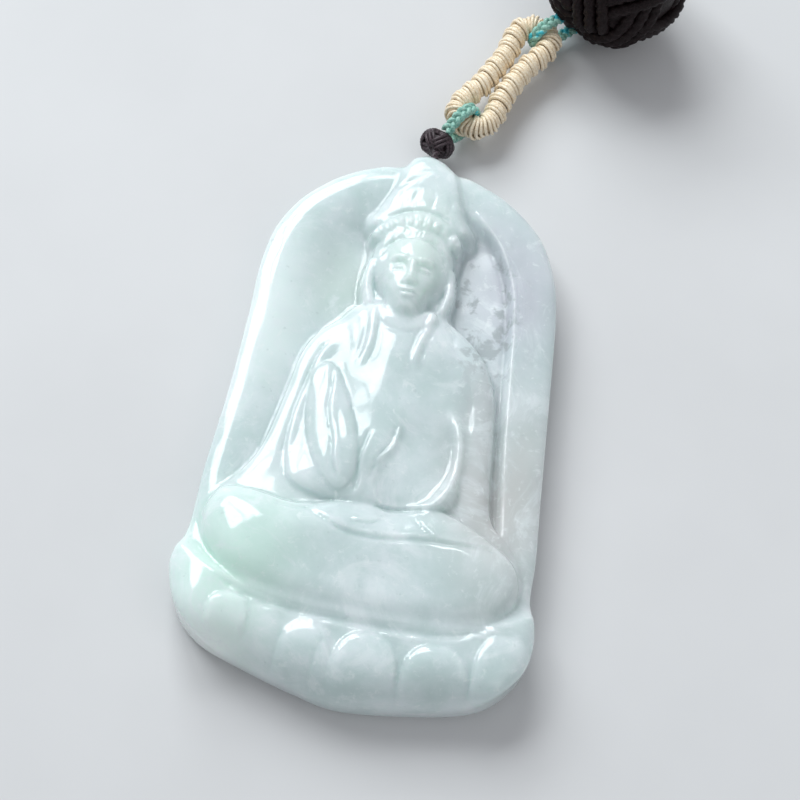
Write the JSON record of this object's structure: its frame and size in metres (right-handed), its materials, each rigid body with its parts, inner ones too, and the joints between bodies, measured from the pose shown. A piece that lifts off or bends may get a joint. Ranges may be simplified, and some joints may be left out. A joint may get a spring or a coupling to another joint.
{
  "type": "jade pendant",
  "caption": "Carved jade plaque pendant with a seated figure in an arched niche, hung from linked knotted cord rings, a round knot and an adjustable neck cord that is coiled up.",
  "frame": {"origin": "middle of the plaque's flat back face, which rests on the table", "axes": "+Z out of the carved face, +Y from the plaque's foot to its apex and on to the cord, +X to the figure's left hand side as seen from the front (viewer's right)"},
  "size_m": [0.0544, 0.1503, 0.0163],
  "materials": {
    "jade": "polished, translucent pale green",
    "brown_cord": "twisted and knotted waxed nylon, dark brown",
    "beige_cord": "glossy wrapped strand, beige",
    "teal_cord": "flat braided thread, teal"
  },
  "bodies": {
    "neck": {"ball_knot": "brown_cord", "upper_teal_ring": "teal_cord", "neck_cord_left_lead": "brown_cord", "neck_cord_right_lead": "brown_cord", "neck_cord_coil": "brown_cord", "neck_cord_left_tail": "brown_cord", "neck_cord_right_tail": "brown_cord", "left_end_knot": "brown_cord", "right_end_knot": "brown_cord"},
    "slider": {"sliding_knot": "brown_cord"},
    "beige_link": {"beige_core_loop": "beige_cord", "beige_wrap": "beige_cord"},
    "lower_link": {"lower_teal_ring": "teal_cord", "hanging_knot": "brown_cord", "thread_loop": "brown_cord"},
    "pendant": {"jade_pendant": "jade"}
  },
  "joints": [
    {"name": "loop_lift", "type": "hinge", "parent": "neck", "child": "beige_link", "pos_m": [0.00975, 0.04844, 0.00285], "axis": [-0.9044, 0.4266, 0], "range_deg": [0, 42]},
    {"name": "pendant_yaw", "type": "hinge", "parent": "beige_link", "child": "lower_link", "pos_m": [0.00386, 0.03595, 0.00285], "axis": [0, 0, 1], "range_deg": [-60, 60]},
    {"name": "pendant_swing", "type": "hinge", "parent": "lower_link", "child": "pendant", "pos_m": [0.0005, 0.0278, 0.0024], "axis": [-1, 0, 0], "range_deg": [-65, 30]},
    {"name": "slider_slide", "type": "slide", "parent": "neck", "child": "slider", "axis": [1, 0, 0], "range_m": [-0.003, 0.003]}
  ]
}
